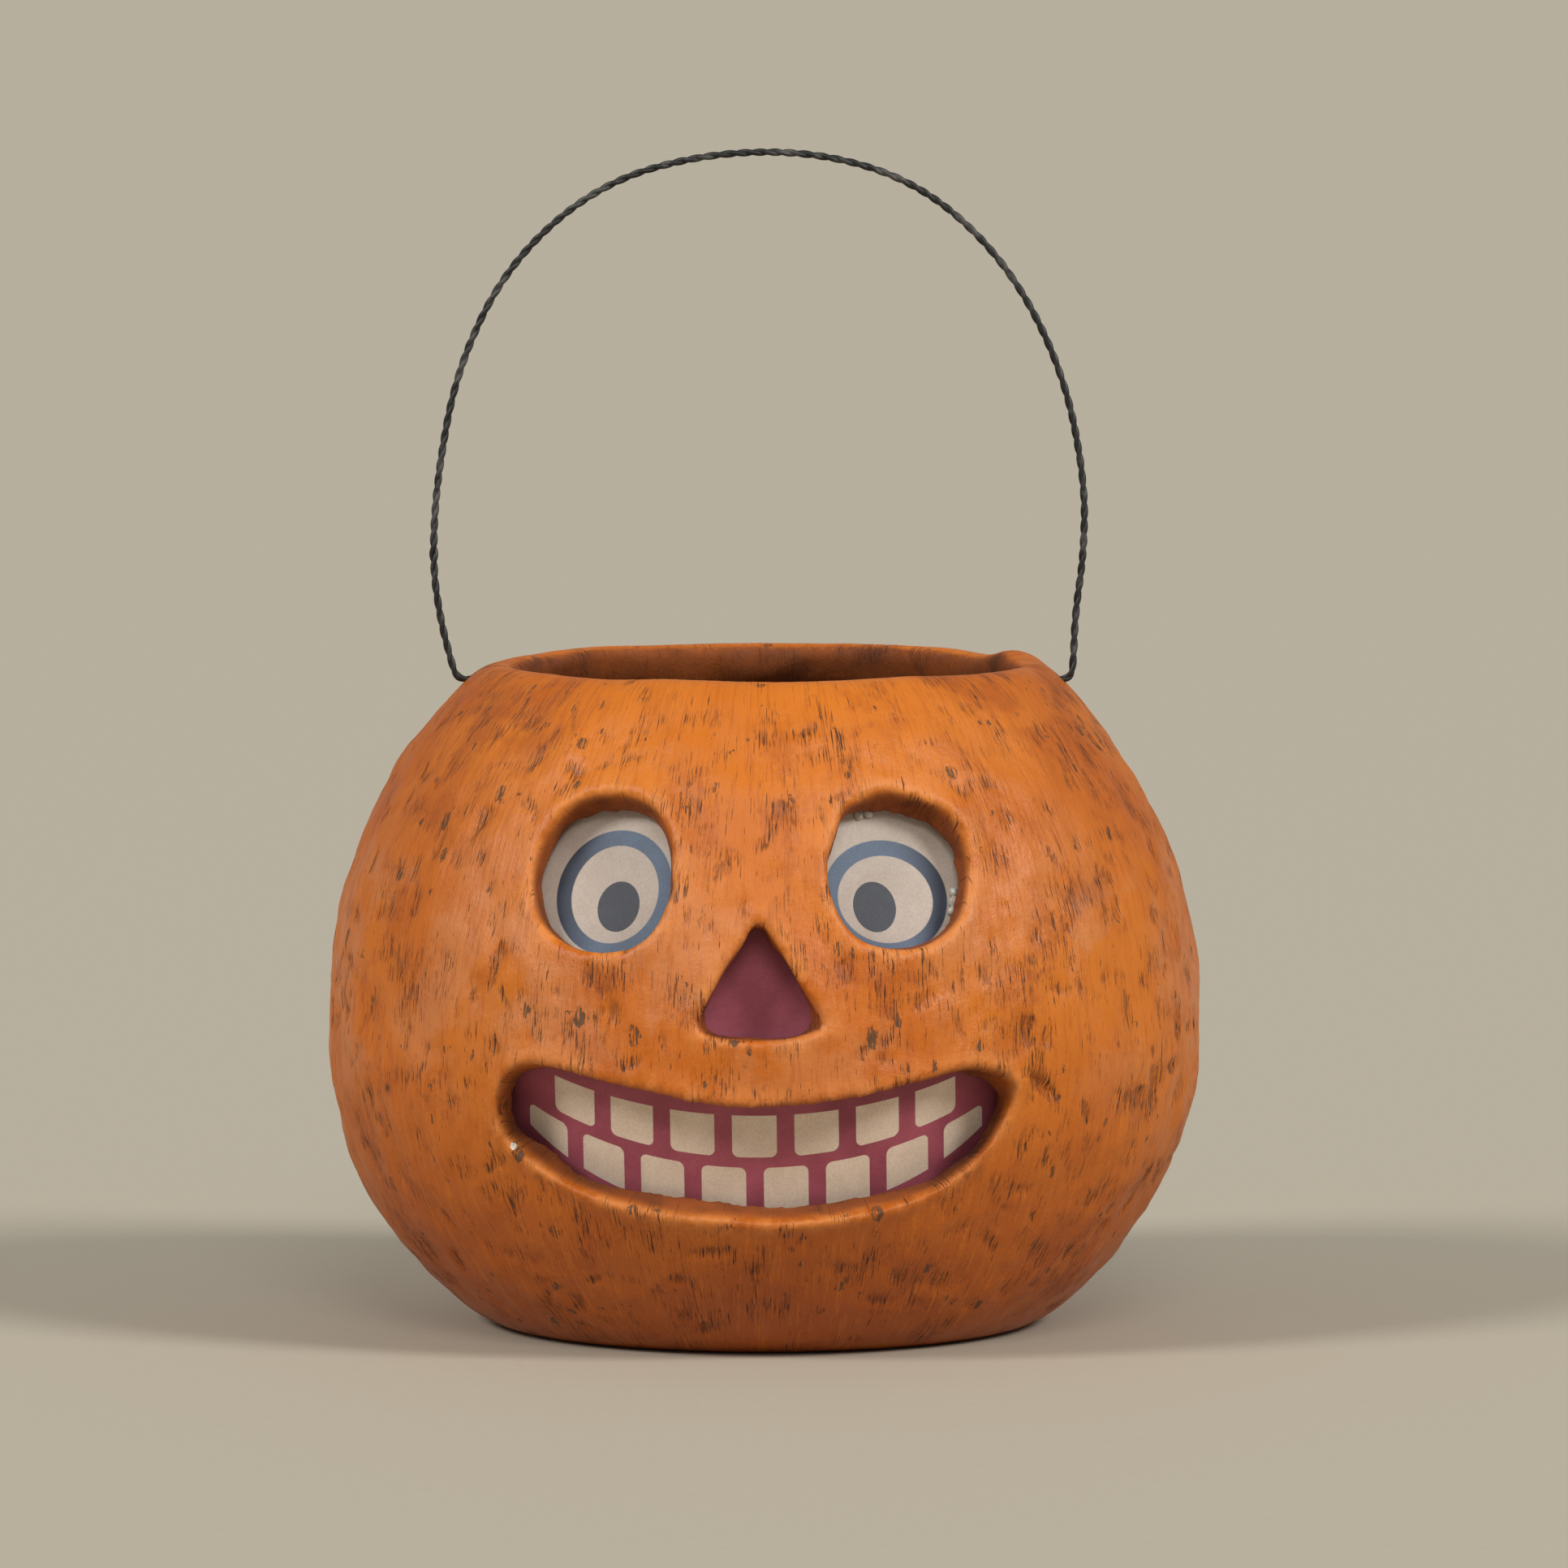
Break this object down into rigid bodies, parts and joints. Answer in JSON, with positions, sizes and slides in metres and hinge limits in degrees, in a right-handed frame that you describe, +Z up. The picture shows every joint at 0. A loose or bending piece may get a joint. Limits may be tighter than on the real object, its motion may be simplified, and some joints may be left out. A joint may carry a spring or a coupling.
{
  "type": "pumpkin candy pail",
  "caption": "Round papier-mache pumpkin pail with a cut grinning face, printed cards glued behind it and a twisted wire bail that swings over the open top.",
  "frame": {"origin": "centre of the flat base, on the plane the pail stands on", "axes": "+Z up along the pail's axis, -Y out of the face, +X to the right as the face is looked at"},
  "size_m": [0.2164, 0.2164, 0.2888],
  "materials": {
    "painted_pulp": "matte",
    "printed_card": "matte",
    "raspberry_card": "matte",
    "clear_glue": "gloss",
    "black_wire": "satin"
  },
  "bodies": {
    "pail": {"pail_shell": "painted_pulp", "left_eye_card": "printed_card", "right_eye_card": "printed_card", "nose_card": "raspberry_card", "mouth_card": "printed_card", "left_eye_glue": "clear_glue", "right_eye_glue": "clear_glue", "nose_glue": "clear_glue", "mouth_glue": "clear_glue"},
    "bail": {"bail_wire_a": "black_wire", "bail_wire_b": "black_wire"}
  },
  "joints": [
    {"name": "bail_swing", "type": "hinge", "parent": "pail", "child": "bail", "pos_m": [0, 0, 0.159], "axis": [1, 0, 0], "range_deg": [-98, 98]}
  ]
}
